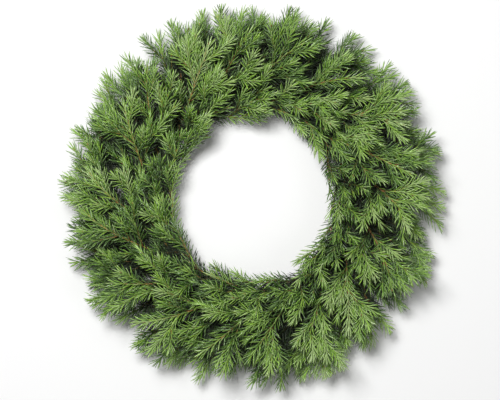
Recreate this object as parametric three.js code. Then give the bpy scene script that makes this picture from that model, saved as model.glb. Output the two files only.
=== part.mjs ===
// Fresh evergreen wreath, lying on its back: spruce sprays bound with wire onto a round wire ring.
// Units are millimetres and degrees. +Z is up, and clockwise means as seen from above.
// The origin is on the surface that the wreath lies on, below the middle of the ring.
import * as THREE from "three";

// Driving dimensions of the wreath
const REACH = 305; // radius to the outermost needle tips of a wreath sold as 60 cm
const HOLE_RADIUS = 107; // no needle reaches nearer to the middle
const STATIONS = 18; // bunches round the ring, each of three sprays
const STATION_STEP = 360 / STATIONS;
const GAP = 0.3; // between pieces that touch
const SEED = 14; // of the draws that make each spray and needle a little different

// The ring and the binding wire
const RING_RADIUS = 152.5; // a ring of 305 mm, 12 inches
const RING_WIRE = 4;
const RING_SIDES = 6;
const RING_STEPS = 40;
const RING_HALF_HEIGHT = (RING_WIRE / 2) * Math.sin(Math.PI / 3); // flat to flat of its six sides
const BINDING_WIRE = 0.9;
const TURNS_PER_STATION = 2;
const FIRST_TURN = 1.5; // degrees from a station's start to the top of its first turn
const WIRE_SLACK = 0.6; // between the wire and the stems

// The sprays' stems where they are bound
const BUTT_RADIUS = 2.5;
const BOUND_SPAN = 14; // degrees of the ring that a stem follows
const RING_BOTTOM = BINDING_WIRE + GAP;
const RING_TOP = RING_BOTTOM + 2 * RING_HALF_HEIGHT;
const LOW_SEAT = RING_TOP + GAP + BUTT_RADIUS / 2; // height of the two lower stems' middle
const HIGH_SEAT = LOW_SEAT + 1.5 * BUTT_RADIUS + GAP; // the face stem lies on those two
const STEM_HALF_WIDTH = BUTT_RADIUS * Math.cos(Math.PI / 6);
const SIDE_SEAT = STEM_HALF_WIDTH + GAP; // the lower stems' distance from the ring's middle line

// The three sprays of a bunch. A tip's advance is the angle that it lies clockwise of the binding.
// A lean is a direction's angle outwards from clockwise, and a climb its angle above level.
// A branch leaves its leader at a share of its length, outwards of it (side 1) or inwards (side -1).
// Whorls of needles stand where branches leave, and at the places of bareWhorls.
const ROWS = [
  {
    name: "outer",
    seatRadius: RING_RADIUS + SIDE_SEAT,
    seatHeight: LOW_SEAT,
    tip: { radius: 282, advance: 33, height: 31, lean: 49, climb: 2 },
    branches: [
      { at: 0.2, side: -1, angle: 44, lift: 24, length: 74 },
      { at: 0.36, side: 1, angle: 37, lift: 6, length: 94 },
      { at: 0.54, side: -1, angle: 38, lift: 14, length: 82 },
      { at: 0.7, side: 1, angle: 35, lift: 4, length: 62 },
    ],
    bareWhorls: [0.9],
  },
  {
    name: "face",
    seatRadius: RING_RADIUS,
    seatHeight: HIGH_SEAT,
    tip: { radius: 246, advance: 38, height: 78, lean: 46, climb: 3 },
    branches: [
      { at: 0.2, side: 1, angle: 42, lift: 2, length: 78 },
      { at: 0.42, side: -1, angle: 42, lift: 8, length: 68 },
      { at: 0.63, side: 1, angle: 38, lift: 0, length: 68 },
    ],
    bareWhorls: [0.86],
  },
  {
    name: "inner",
    seatRadius: RING_RADIUS - SIDE_SEAT,
    seatHeight: LOW_SEAT,
    tip: { radius: 130, advance: 42, height: 48, lean: 0, climb: 12 },
    branches: [
      { at: 0.26, side: 1, angle: 46, lift: 50, length: 56 },
      { at: 0.56, side: 1, angle: 42, lift: 34, length: 50 },
    ],
    bareWhorls: [0.82],
  },
];
const TIP_SPREAD = { radius: 13, advance: 4, height: 7, lean: 9 }; // each spray differs by up to this
const BRANCH_SPREAD = { at: 0.03, angle: 6, length: 0.14 }; // length as a share
const ROOT_PULL = 0.18; // how far the bound direction and the tip's carry into the free part,
const TIP_PULL = 0.35; // as shares of its length
const BRANCH_BEND = 18; // a branch turns towards its spray's direction by this
const LIFT_TRIES = [0, 16, -16, 32, -32, 48, -48]; // other lifts for a branch that has too little room
const ENOUGH_ROOM = 15; // between a branch and the other twigs
const LEAST_ROOM = 3.2; // a branch with less is left out
const BETTER_ROOM = 0.5; // another lift is taken only for this much more room
const LEADER_RODS = 8; // straight pieces that stand in for a leader when room is measured
const BRANCH_RODS = 3;
const BRANCH_KEY = 10; // first key of the draws for branches
const NEEDLE_KEY = 100; // first key of the draws for needles
const BRANCH_FLOOR = 9; // the lowest that a branch's tip lies
const BRANCH_REACH = REACH - 13;
const BRANCH_HOLE = HOLE_RADIUS + 11;

// Twigs and needles
const SHOULDER_RADIUS = 2.1; // a stem's radius where it leaves the binding
const LEADER_TIP_RADIUS = 1.1;
const BRANCH_ROOT_RADIUS = 1.4;
const BRANCH_TIP_RADIUS = 0.95;
const BRANCH_COLLAR = 8; // from a branch's root to its first free ring
const WHORL_HEIGHT = 3; // the length of twig that six needles grow from
const DIAGONAL_LEEWAY = 0.05; // so that all untwisted sides are split alike
const BRANCH_WHORLS = [0.12, 0.56]; // as shares of a branch past its collar
const TIP_WHORL_SETBACK = 3;
const NEEDLE_LENGTH = 19;
const NEEDLE_ROOT_RADIUS = 1.2;
const NEEDLE_LEAN = 46; // from the twig's direction
const TIP_NEEDLE_LEAN = 20;
const NEEDLE_SPREAD = { length: 0.12, lean: 7, turn: 12 };
const NEEDLE_TURNS = [0, 14, -14, 28, -28, 42, -42]; // about the twig, until a needle is clear,
const NEEDLE_TILTS = [0, 10, -10]; // with these changes of its lean
const NEEDLE_CLEARANCE = 0.4;
const NEEDLE_FLOOR = 0.7;
const ROOT_ZONE = 0.16; // needles of one spray may touch in this share of their length

const UP = new THREE.Vector3(0, 0, 1);
const radians = THREE.MathUtils.degToRad;

// A repeatable number from 0 to 1 for each list of whole numbers.
function draw(...keys) {
  let hash = SEED;
  for (const key of keys) {
    hash = Math.imul(hash ^ (key + 0x9e3779b9), 0x85ebca6b);
    hash ^= hash >>> 13;
    hash = Math.imul(hash, 0xc2b2ae35);
    hash ^= hash >>> 16;
  }
  return (hash >>> 0) / 2 ** 32;
}

function spread(amount, ...keys) {
  return amount * (2 * draw(...keys) - 1);
}

function polar(advance, radius, height) {
  const angle = radians(advance);
  return new THREE.Vector3(radius * Math.cos(angle), -radius * Math.sin(angle), height);
}

// The direction at an advance that leans outwards from clockwise and climbs from level.
function heading(advance, lean, climb) {
  const angle = radians(advance + 90 - lean);
  const level = Math.cos(radians(climb));
  return new THREE.Vector3(level * Math.cos(angle), -level * Math.sin(angle), Math.sin(radians(climb)));
}

// The free part of a spray's leader, from the end of its binding to its tip.
function leaderCurve(row, rowIndex, station) {
  const start = station * STATION_STEP + BOUND_SPAN;
  const vary = (name, key) => row.tip[name] + spread(TIP_SPREAD[name], rowIndex, station, key);
  const advance = start + vary("advance", 1);
  const root = polar(start, row.seatRadius, row.seatHeight);
  const tip = polar(advance, vary("radius", 2), vary("height", 3));
  const length = root.distanceTo(tip);
  const rootHandle = root.clone().addScaledVector(heading(start, 0, 0), ROOT_PULL * length);
  const tipHeading = heading(advance, vary("lean", 4), row.tip.climb);
  const tipHandle = tip.clone().addScaledVector(tipHeading, -TIP_PULL * length);
  return new THREE.CubicBezierCurve3(root, rootHandle, tipHandle, tip);
}

// A branch that leaves its leader to one side, lifted out of the spray's plane.
function branchCurve(leader, branch, at, lift, keys) {
  const root = leader.getPointAt(at);
  const forward = leader.getTangentAt(at);
  const normal = UP.clone().addScaledVector(forward, -UP.dot(forward)).normalize();
  const aside = normal.clone().cross(forward).multiplyScalar(branch.side * Math.cos(radians(lift)));
  const outward = aside.addScaledVector(normal, Math.sin(radians(lift)));
  const angle = branch.angle + spread(BRANCH_SPREAD.angle, ...keys, 1);
  const headed = (degrees) => {
    const along = forward.clone().multiplyScalar(Math.cos(radians(degrees)));
    return along.addScaledVector(outward, Math.sin(radians(degrees)));
  };
  const half = (branch.length * (1 + spread(BRANCH_SPREAD.length, ...keys, 2))) / 2;
  const middle = root.clone().addScaledVector(headed(angle), half);
  const tip = middle.clone().addScaledVector(headed(angle - BRANCH_BEND), half);
  const level = Math.hypot(tip.x, tip.y);
  const excess = Math.max(0, level - BRANCH_REACH, BRANCH_HOLE - level, BRANCH_FLOOR - tip.z);
  const kept = 1 - excess / (2 * half);
  middle.lerpVectors(root, middle, kept);
  tip.lerpVectors(root, tip, kept);
  return new THREE.QuadraticBezierCurve3(root, middle, tip);
}

// The least distance between segments ab and cd, and where on each of them it is, as shares of
// their lengths. The vectors are made once, because this runs very often.
const ab = new THREE.Vector3();
const cd = new THREE.Vector3();
const ca = new THREE.Vector3();
const nearestOnAb = new THREE.Vector3();
const nearestOnCd = new THREE.Vector3();
function segmentsApart(a, b, c, d) {
  ab.subVectors(b, a);
  cd.subVectors(d, c);
  ca.subVectors(a, c);
  const abab = ab.dot(ab);
  const cdcd = cd.dot(cd);
  const abcd = ab.dot(cd);
  const abca = ab.dot(ca);
  const cdca = cd.dot(ca);
  const spanned = abab * cdcd - abcd * abcd;
  let s = spanned > 1e-9 ? THREE.MathUtils.clamp((abcd * cdca - abca * cdcd) / spanned, 0, 1) : 0;
  let t = (abcd * s + cdca) / cdcd;
  if (t < 0 || t > 1) {
    t = THREE.MathUtils.clamp(t, 0, 1);
    s = THREE.MathUtils.clamp((t * abcd - abca) / abab, 0, 1);
  }
  nearestOnAb.copy(a).addScaledVector(ab, s);
  nearestOnCd.copy(c).addScaledVector(cd, t);
  return { distance: nearestOnAb.distanceTo(nearestOnCd), s, t };
}

// A straight piece of twig, wire or needle, which tapers from one end to the other. It knows its
// spray, or other piece, and the curve of the twig that it is part of or grows on.
class Rod {
  constructor(from, to, fromRadius, toRadius, spray, curve) {
    Object.assign(this, { from, to, fromRadius, toRadius, spray, curve });
    this.middle = from.clone().lerp(to, 0.5);
    this.half = from.distanceTo(to) / 2;
  }

  // The clear space between two rods, or Infinity where it is plainly more than enough.
  room(other, enough) {
    const near = this.half + other.half + this.fromRadius + other.fromRadius + enough;
    if (this.middle.distanceToSquared(other.middle) > near * near) return Infinity;
    const { distance, s, t } = segmentsApart(this.from, this.to, other.from, other.to);
    const mine = THREE.MathUtils.lerp(this.fromRadius, this.toRadius, s);
    const its = THREE.MathUtils.lerp(other.fromRadius, other.toRadius, t);
    return distance - mine - its;
  }
}

function rodsAlong(curve, steps, fromRadius, toRadius, spray) {
  const rods = [];
  for (let i = 0; i < steps; i++) {
    const ends = [i / steps, (i + 1) / steps];
    const [from, to] = ends.map((share) => curve.getPointAt(share));
    const [first, last] = ends.map((share) => THREE.MathUtils.lerp(fromRadius, toRadius, share));
    rods.push(new Rod(from, to, first, last, spray, curve));
  }
  return rods;
}

// The least space between a branch and the other twigs, apart from the leader that it grows from.
function leastRoom(rods, twigs, leader) {
  let least = ENOUGH_ROOM;
  for (const rod of rods) {
    for (const other of twigs) {
      if (other.curve !== leader) least = Math.min(least, rod.room(other, ENOUGH_ROOM));
    }
  }
  return least;
}

// Plans every leader, and then every branch with the lift that gives it most room.
function planSprays() {
  const sprays = [];
  const twigs = [];
  ROWS.forEach((row, rowIndex) => {
    for (let station = 0; station < STATIONS; station++) {
      const name = `spray_${row.name}_${String(station + 1).padStart(2, "0")}`;
      const leader = leaderCurve(row, rowIndex, station);
      sprays.push({ name, row, rowIndex, station, leader, branches: [] });
      twigs.push(...rodsAlong(leader, LEADER_RODS, SHOULDER_RADIUS, LEADER_TIP_RADIUS, name));
    }
  });
  for (const spray of sprays) {
    spray.row.branches.forEach((branch, index) => {
      const keys = [spray.rowIndex, spray.station, BRANCH_KEY + index];
      const at = branch.at + spread(BRANCH_SPREAD.at, ...keys, 3);
      let best = null;
      for (const change of LIFT_TRIES) {
        const curve = branchCurve(spray.leader, branch, at, branch.lift + change, keys);
        const rods = rodsAlong(curve, BRANCH_RODS, BRANCH_ROOT_RADIUS, BRANCH_TIP_RADIUS, spray.name);
        const room = leastRoom(rods, twigs, spray.leader);
        if (!best || room > best.room + BETTER_ROOM) best = { curve, rods, room };
      }
      if (best.room < LEAST_ROOM) return;
      spray.branches.push({ at, curve: best.curve });
      twigs.push(...best.rods);
    });
  }
  return { sprays, twigs };
}

// A spray's skin. Twigs are three-sided tubes, and needles and branches grow out of their facets.
class Skin {
  constructor(name) {
    this.name = name;
    this.points = [];
    this.faces = [];
    this.buds = []; // open facets, each for one needle
  }

  ring(centre, forward, radius, towards) {
    const first = towards.clone().addScaledVector(forward, -towards.dot(forward)).normalize();
    return [0, 120, 240].map((turn) => {
      const spoke = first.clone().applyAxisAngle(forward, radians(turn));
      return this.points.push(centre.clone().addScaledVector(spoke, radius)) - 1;
    });
  }

  // Six facets between two rings. Each side is split along its shorter diagonal, so a turn of the
  // tube between the rings doesn't pinch it.
  band(lower, upper) {
    const across = (a, b) => this.points[a].distanceTo(this.points[b]);
    return [0, 1, 2].flatMap((k) => {
      const next = (k + 1) % 3;
      if (across(lower[k], upper[next]) < across(lower[next], upper[k]) + DIAGONAL_LEEWAY) {
        return [
          [lower[k], lower[next], upper[next]],
          [lower[k], upper[next], upper[k]],
        ];
      }
      return [
        [lower[k], lower[next], upper[k]],
        [lower[next], upper[next], upper[k]],
      ];
    });
  }

  centre(facet) {
    const sum = new THREE.Vector3();
    facet.forEach((index) => sum.add(this.points[index]));
    return sum.divideScalar(3);
  }

  cone(facet, apex) {
    const tip = this.points.push(apex) - 1;
    facet.forEach((index, k) => this.faces.push([index, facet[(k + 1) % 3], tip]));
  }

  // Grows a tube from a facet along a curve, with whorls of needles at the given shares of its length.
  // A whorl with a facing turns one of its three sides that way. Returns the facets of each whorl,
  // in which branches may still take the place of needles.
  grow(base, curve, whorls, radiusAt) {
    const length = curve.getLength();
    let ring = base;
    let towards = this.points[base[0]].clone().sub(this.centre(base));
    const step = (share) => {
      const upper = this.ring(curve.getPointAt(share), curve.getTangentAt(share), radiusAt(share), towards);
      const facets = this.band(ring, upper);
      ring = upper;
      return facets;
    };
    const half = WHORL_HEIGHT / 2 / length;
    const grown = whorls.map(({ share, facing }) => {
      const forward = curve.getTangentAt(share);
      if (facing) towards = nearestTurn(facing.clone().negate(), forward, towards);
      this.faces.push(...step(share - half));
      const middle = curve.getPointAt(share);
      return step(share + half).map((facet) => ({ facet, forward, middle, curve }));
    });
    this.faces.push(...step(1 - TIP_WHORL_SETBACK / length));
    const forward = curve.getTangentAt(1);
    const middle = curve.getPointAt(1);
    const end = this.points.push(middle) - 1;
    for (const k of [0, 1, 2]) {
      const facet = [ring[k], ring[(k + 1) % 3], end];
      this.buds.push({ facet, forward, middle, crown: true, curve });
    }
    return grown;
  }

  geometry() {
    const positions = this.faces.flat().flatMap((index) => this.points[index].toArray());
    const made = new THREE.BufferGeometry();
    made.setAttribute("position", new THREE.Float32BufferAttribute(positions, 3));
    made.computeVertexNormals();
    return made;
  }
}

// A direction turned by a third or two thirds of a turn about an axis, whichever is nearest to another.
function nearestTurn(direction, axis, wanted) {
  const level = direction.addScaledVector(axis, -direction.dot(axis)).normalize();
  const turned = [0, 120, 240].map((turn) => level.clone().applyAxisAngle(axis, radians(turn)));
  return turned.reduce((best, next) => (next.dot(wanted) > best.dot(wanted) ? next : best));
}

// The facet of a whorl that faces a branch most.
function takeFacet(whorl, skin, direction) {
  let best = null;
  for (const bud of whorl) {
    const facing = skin.centre(bud.facet).sub(bud.middle).normalize().dot(direction);
    if (!best || facing > best.facing) best = { facing, bud };
  }
  whorl.splice(whorl.indexOf(best.bud), 1);
  return best.bud.facet;
}

function growSpray(spray) {
  const { row, station, leader } = spray;
  const skin = new Skin(spray.name);
  const start = station * STATION_STEP;
  const bound = [0, 0.5].map((share) => {
    const advance = start + share * BOUND_SPAN;
    const middle = polar(advance, row.seatRadius, row.seatHeight);
    return skin.ring(middle, heading(advance, 0, 0), BUTT_RADIUS, UP);
  });
  skin.faces.push([bound[0][0], bound[0][2], bound[0][1]], ...skin.band(bound[0], bound[1]));
  const shoulder = skin.ring(leader.getPointAt(0), leader.getTangentAt(0), BUTT_RADIUS, UP);
  skin.faces.push(...skin.band(bound[1], shoulder));
  const forks = spray.branches.map(({ at, curve }) => ({ share: at, facing: curve.getTangentAt(0) }));
  const others = row.bareWhorls.map((share) => ({ share }));
  const places = [...forks, ...others].sort((a, b) => a.share - b.share);
  const leaderRadius = (share) => THREE.MathUtils.lerp(SHOULDER_RADIUS, LEADER_TIP_RADIUS, share);
  const whorls = skin.grow(shoulder, leader, places, leaderRadius);
  spray.branches.forEach((branch, index) => {
    const fork = forks[index];
    const facet = takeFacet(whorls[places.indexOf(fork)], skin, fork.facing);
    const branchRadius = (share) => THREE.MathUtils.lerp(BRANCH_ROOT_RADIUS, BRANCH_TIP_RADIUS, share);
    const collar = BRANCH_COLLAR / branch.curve.getLength();
    const shares = BRANCH_WHORLS.map((share) => ({ share: THREE.MathUtils.lerp(collar, 1, share) }));
    whorls.push(...skin.grow(facet, branch.curve, shares, branchRadius));
  });
  skin.buds.push(...whorls.flat());
  return skin;
}

function needleRod(skin, bud, keys, turn, tilt) {
  const centre = skin.centre(bud.facet);
  const out = centre.clone().sub(bud.middle);
  out.addScaledVector(bud.forward, -out.dot(bud.forward)).normalize();
  const lean = (bud.crown ? TIP_NEEDLE_LEAN : NEEDLE_LEAN) + tilt + spread(NEEDLE_SPREAD.lean, ...keys, 1);
  const length = NEEDLE_LENGTH * (1 + spread(NEEDLE_SPREAD.length, ...keys, 2));
  out.applyAxisAngle(bud.forward, radians(turn + spread(NEEDLE_SPREAD.turn, ...keys, 3)));
  const direction = bud.forward.clone().multiplyScalar(Math.cos(radians(lean)));
  direction.addScaledVector(out, Math.sin(radians(lean)));
  const apex = centre.clone().addScaledVector(direction, length);
  return new Rod(centre, apex, NEEDLE_ROOT_RADIUS, 0, skin.name, bud.curve);
}

function isClear(needle, whorlKey, obstacles) {
  const level = Math.hypot(needle.to.x, needle.to.y);
  if (level > REACH || level < HOLE_RADIUS || needle.to.z < NEEDLE_FLOOR) return false;
  const outer = new Rod(
    needle.from.clone().lerp(needle.to, ROOT_ZONE),
    needle.to,
    NEEDLE_ROOT_RADIUS * (1 - ROOT_ZONE),
    0,
    needle.spray,
  );
  for (const other of obstacles) {
    if (other.spray !== needle.spray) {
      if (needle.room(other, NEEDLE_CLEARANCE) < NEEDLE_CLEARANCE) return false;
    } else if (other.whorlKey !== whorlKey && other.curve !== needle.curve) {
      if (outer.room(other, NEEDLE_CLEARANCE) < NEEDLE_CLEARANCE / 2) return false;
    }
  }
  return true;
}

// Sets the needles one at a time, each turned until it is clear of every other piece.
function setNeedles(skins, obstacles) {
  let set = 0;
  let left = 0;
  skins.forEach((skin, skinIndex) => {
    skin.buds.forEach((bud, index) => {
      const keys = [NEEDLE_KEY + skinIndex, index];
      const whorlKey = `${skin.name} ${bud.middle.toArray()}`;
      const tries = NEEDLE_TURNS.flatMap((turn) =>
        NEEDLE_TILTS.map((tilt) => needleRod(skin, bud, keys, turn, tilt)),
      );
      const needle = tries.find((rod) => isClear(rod, whorlKey, obstacles));
      if (!needle) {
        skin.faces.push(bud.facet);
        left += 1;
        return;
      }
      skin.cone(bud.facet, needle.to);
      needle.whorlKey = whorlKey;
      obstacles.push(needle);
      set += 1;
    });
  });
  console.log(`${set} needles, ${left} left out for want of room`);
}

// The binding wire's way round the ring and the stems: the five places in each turn where it bends,
// each with the side that its flat face looks to. It goes up inside the ring and comes down outside it.
const WIRE_FOOT = RING_WIRE / 2 + GAP;
const WIRE_SIDE = SIDE_SEAT + STEM_HALF_WIDTH + WIRE_SLACK;
const WIRE_CORNERS = [
  { out: -WIRE_FOOT, height: BINDING_WIRE, facing: [0, -1] },
  { out: -WIRE_SIDE, height: LOW_SEAT - BUTT_RADIUS / 2, facing: [-1, 0] },
  { out: 0, height: HIGH_SEAT + BUTT_RADIUS + WIRE_SLACK, facing: [0, 1] },
  { out: WIRE_SIDE, height: LOW_SEAT - BUTT_RADIUS / 2, facing: [1, 0] },
  { out: WIRE_FOOT, height: BINDING_WIRE, facing: [0, -1] },
];
const TOP_CORNER = 2;
const OPEN_CORNERS = 2; // left out of the last turn, so the wire's ends lie apart
const WIRE_CORE = 0.6; // where the middle of its section lies, from its inner edge to its flat side

function wireCorner(index) {
  const count = WIRE_CORNERS.length;
  const { out, height, facing } = WIRE_CORNERS[THREE.MathUtils.euclideanModulo(index, count)];
  const pitch = STATION_STEP / TURNS_PER_STATION;
  const advance = FIRST_TURN + ((index - TOP_CORNER) / count) * pitch;
  const outside = polar(advance, facing[0], facing[1]);
  return { inner: polar(advance, RING_RADIUS + out, height), outside };
}

// The wire has a three-sided section with its flat side outwards, so it lies flat under the ring.
// Its two feet in a turn are square to the run below the ring, and its other corners to the way
// from the corner before to the one after.
function bindingWire() {
  const skin = new Skin("binding_wire");
  const count = WIRE_CORNERS.length;
  const last = STATIONS * TURNS_PER_STATION * count - 1 - OPEN_CORNERS;
  const rods = [];
  let before = null;
  for (let index = 0; index <= last; index++) {
    const { inner, outside } = wireCorner(index);
    const kind = index % count;
    const from = wireCorner(kind === count - 1 ? index : index - 1).inner;
    const to = wireCorner(kind === 0 ? index : index + 1).inner;
    const across = to.sub(from).cross(outside).normalize();
    const outer = inner.clone().addScaledVector(outside, BINDING_WIRE);
    const ring = [
      skin.points.push(inner) - 1,
      skin.points.push(outer.clone().addScaledVector(across, -BINDING_WIRE / 2)) - 1,
      skin.points.push(outer.clone().addScaledVector(across, BINDING_WIRE / 2)) - 1,
    ];
    const middle = inner.clone().lerp(outer, WIRE_CORE);
    if (before) {
      skin.faces.push(...skin.band(before.ring, ring));
      rods.push(new Rod(before.middle, middle, BINDING_WIRE / 2, BINDING_WIRE / 2, skin.name));
    } else {
      skin.faces.push([ring[0], ring[2], ring[1]]);
    }
    before = { ring, middle };
  }
  skin.faces.push(before.ring);
  return { skin, rods };
}

function ringGeometry() {
  const torus = new THREE.TorusGeometry(RING_RADIUS, RING_WIRE / 2, RING_SIDES, RING_STEPS);
  return torus.translate(0, 0, RING_BOTTOM + RING_HALF_HEIGHT);
}

function ringRods() {
  const height = RING_BOTTOM + RING_HALF_HEIGHT;
  return Array.from({ length: RING_STEPS }, (_, i) => {
    const ends = [i, i + 1].map((step) => polar((step * 360) / RING_STEPS, RING_RADIUS, height));
    return new Rod(...ends, RING_WIRE / 2, RING_WIRE / 2, "ring");
  });
}

// The stems where they are bound, which needles keep clear of
function boundRods(spray) {
  const { row, station, name } = spray;
  const ends = [0, 0.5, 1].map((share) =>
    polar(station * STATION_STEP + share * BOUND_SPAN, row.seatRadius, row.seatHeight),
  );
  return [0, 1].map((i) => new Rod(ends[i], ends[i + 1], BUTT_RADIUS, BUTT_RADIUS, name));
}

const materials = {
  spruce: new THREE.MeshStandardMaterial({ color: 0x4f7a38, roughness: 0.55, metalness: 0 }),
  ring: new THREE.MeshStandardMaterial({ color: 0x24452c, roughness: 0.4, metalness: 0.3 }),
  wire: new THREE.MeshStandardMaterial({ color: 0x2f4a2a, roughness: 0.45, metalness: 0.4 }),
};

function named(name, geometry, material) {
  const mesh = new THREE.Mesh(geometry, material);
  mesh.name = name;
  return mesh;
}

const wreath = new THREE.Group();
const { sprays, twigs } = planSprays();
const binding = bindingWire();
const skins = sprays.map(growSpray);
setNeedles(skins, [...twigs, ...binding.rods, ...ringRods(), ...sprays.flatMap(boundRods)]);
wreath.add(named("ring", ringGeometry(), materials.ring));
wreath.add(named("binding_wire", binding.skin.geometry(), materials.wire));
skins.forEach((skin) => wreath.add(named(skin.name, skin.geometry(), materials.spruce)));

export default wreath;
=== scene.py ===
# %% [markdown]
# # A fresh evergreen wreath
# A hand-bound wreath is a ring of stout wire with bunches of spruce laid on it one after another.
# Each bunch hides the cut stems of the one before, and one long wire winds round them all. The CAD
# frame holds the ring, the binding wire and the sprays in a coarse form, and this lesson replaces
# each by a finer piece on the same lines. Tens of thousands of needles can't be set by hand, so a
# rule with seeded draws sets them, the same on every run.

import math

import bpy
import numpy as np
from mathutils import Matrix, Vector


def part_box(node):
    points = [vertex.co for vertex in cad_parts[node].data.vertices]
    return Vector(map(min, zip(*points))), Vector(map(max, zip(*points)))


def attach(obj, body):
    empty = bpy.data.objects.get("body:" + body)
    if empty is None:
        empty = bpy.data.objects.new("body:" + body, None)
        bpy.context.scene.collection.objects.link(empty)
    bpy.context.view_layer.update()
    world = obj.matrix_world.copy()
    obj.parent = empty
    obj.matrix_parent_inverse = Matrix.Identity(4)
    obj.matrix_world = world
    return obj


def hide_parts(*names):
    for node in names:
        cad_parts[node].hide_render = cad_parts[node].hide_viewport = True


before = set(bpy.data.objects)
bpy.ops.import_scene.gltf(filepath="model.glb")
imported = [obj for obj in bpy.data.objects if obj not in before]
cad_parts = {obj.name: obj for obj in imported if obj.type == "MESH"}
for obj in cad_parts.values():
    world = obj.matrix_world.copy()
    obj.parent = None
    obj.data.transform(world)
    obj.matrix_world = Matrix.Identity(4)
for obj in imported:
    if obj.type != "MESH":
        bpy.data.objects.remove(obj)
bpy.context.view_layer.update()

# %% [markdown]
# ## The camera
# The photograph shows the wreath squarely from the front. Ours lies on its back, so the camera
# looks straight down. Eight to thirteen pixels for a needle of 12 to 20 mm give about 1.54 mm to a
# pixel. A long lens from three metres keeps near and far sprays at nearly one scale, and unlike a
# camera with no perspective it still shows their depth from the side.

# %% Place the camera
MM = 0.001
PIXEL = 1.5385 * MM
PHOTO_WIDTH = 500 * PIXEL
CAMERA_HEIGHT = 3.0
LOOK_HEIGHT = 0.04  # where in the wreath the scale is exact
OFF_MIDDLE = -3 * PIXEL  # the wreath lies a little right of the picture's middle, and above it
scene = bpy.context.scene
camera_data = bpy.data.cameras.new("camera")
camera_data.sensor_width = 36.0
camera_data.lens = camera_data.sensor_width * CAMERA_HEIGHT / PHOTO_WIDTH
camera = bpy.data.objects.new("camera", camera_data)
camera.location = (OFF_MIDDLE, OFF_MIDDLE, CAMERA_HEIGHT + LOOK_HEIGHT)
scene.collection.objects.link(camera)
scene.camera = camera
print("lens:", round(camera_data.lens, 1), "mm")

# %% [markdown]
# ## The floor and the light
# The photograph is lit from the upper left: the sprays' tips are bright, the gaps between them
# nearly black, and the ground is white. A bright even sky alone would wash the gaps out, so the sky
# is dim, one soft lamp at the upper left does most, and a wide weak one fills in from the other
# side.

# %% Light the studio
bpy.ops.mesh.primitive_plane_add(size=8, location=(0, 0, 0))
floor = bpy.context.object
floor.name = "floor"
world = bpy.data.worlds.new("studio")
world.use_nodes = True
sky = world.node_tree.nodes["Background"].inputs
sky["Color"].default_value = (1.0, 1.0, 1.0, 1.0)
sky["Strength"].default_value = 0.15
scene.world = world


def soft_lamp(name, place, size, power):
    """A square lamp that faces the wreath's middle."""
    light = bpy.data.lights.new(name, "AREA")
    light.size = size
    light.energy = power
    lamp = bpy.data.objects.new(name, light)
    lamp.location = place
    tilt = math.acos(place[2] / np.linalg.norm(place))
    lamp.rotation_euler = (tilt, 0, math.atan2(place[1], place[0]) + math.pi / 2)
    scene.collection.objects.link(lamp)


soft_lamp("main_lamp", place=(-0.6, 0.8, 2.6), size=0.9, power=86)
soft_lamp("fill_lamp", place=(1.6, -0.9, 1.9), size=1.4, power=8)
scene.view_settings.view_transform = "Standard"
print("lamps placed")

# %% [markdown]
# ## Shader maths in plain Python
# A finish is a small formula: a colour that depends on where a point is. As an expression it reads
# more easily than as a web of nodes. A `Wire` wraps one node output, and each `+` or `*` on it adds
# a Math node, so formula and node tree stay the same thing.

# %% The wire that does arithmetic
class Wire:
    """One output of a shader node, ready for arithmetic."""

    def __init__(self, finish, socket):
        self.finish = finish
        self.socket = socket

    def math(self, operation, *values):
        node = self.finish.tree.nodes.new("ShaderNodeMath")
        node.operation = operation
        for socket, value in zip(node.inputs, values):
            self.finish.feed(socket, value)
        return Wire(self.finish, node.outputs[0])

    def __add__(self, other):
        return self.math("ADD", self, other)

    __radd__ = __add__

    def __sub__(self, other):
        return self.math("SUBTRACT", self, other)

    def __rsub__(self, other):
        return self.math("SUBTRACT", other, self)

    def __mul__(self, other):
        return self.math("MULTIPLY", self, other)

    __rmul__ = __mul__

    def __truediv__(self, other):
        return self.math("DIVIDE", self, other)

    def clamped(self):
        """This value held between 0 and 1."""
        return self.math("MINIMUM", self.math("MAXIMUM", self, 0.0), 1.0)

    def rise(self, start, end):
        """0 up to the start, 1 from the end on, and a straight slope between them."""
        return ((self - start) / (end - start)).clamped()


class Finish:
    """A material that is built up from wires."""

    def __init__(self, name):
        self.material = bpy.data.materials.new(name)
        self.material.use_nodes = True
        self.tree = self.material.node_tree
        self.shader = self.tree.nodes["Principled BSDF"]

    def feed(self, socket, value):
        if isinstance(value, Wire):
            self.tree.links.new(value.socket, socket)
        elif socket.type == "RGBA":
            socket.default_value = (*value, 1.0)
        else:
            socket.default_value = value

    def node(self, kind, settings=None, inputs=None, output=0):
        """Any other node: its settings first, then its sockets by name or place."""
        made = self.tree.nodes.new(kind)
        for name, value in (settings or {}).items():
            setattr(made, name, value)
        for key, value in (inputs or {}).items():
            self.feed(made.inputs[key], value)
        return Wire(self, made.outputs[output])

    def mix(self, share, first, second):
        """The first colour at share 0 and the second at share 1."""
        inputs = {0: share, 6: first, 7: second}
        return self.node("ShaderNodeMix", {"data_type": "RGBA"}, inputs, output=2)

    def map_axes(self, map_name):
        """The two axes of a UV map as wires."""
        found = self.node("ShaderNodeUVMap", {"uv_map": map_name})
        split = self.node("ShaderNodeSeparateXYZ", inputs={0: found})
        return split, Wire(self, split.socket.node.outputs[1])

    def set(self, **values):
        for name, value in values.items():
            self.feed(self.shader.inputs[name.replace("_", " ")], value)
        return self.material


print("shader helpers ready")

# %% [markdown]
# ## The floor's finish
# The floor only has to be pale and plain. A pattern would draw the eye from the needles, so one
# colour and one roughness do.

# %% Paint the floor
PALE_GREY = (0.84, 0.84, 0.84)
floor.data.materials.append(Finish("studio_floor").set(Base_Color=PALE_GREY, Roughness=0.85))
print("floor painted")

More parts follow.
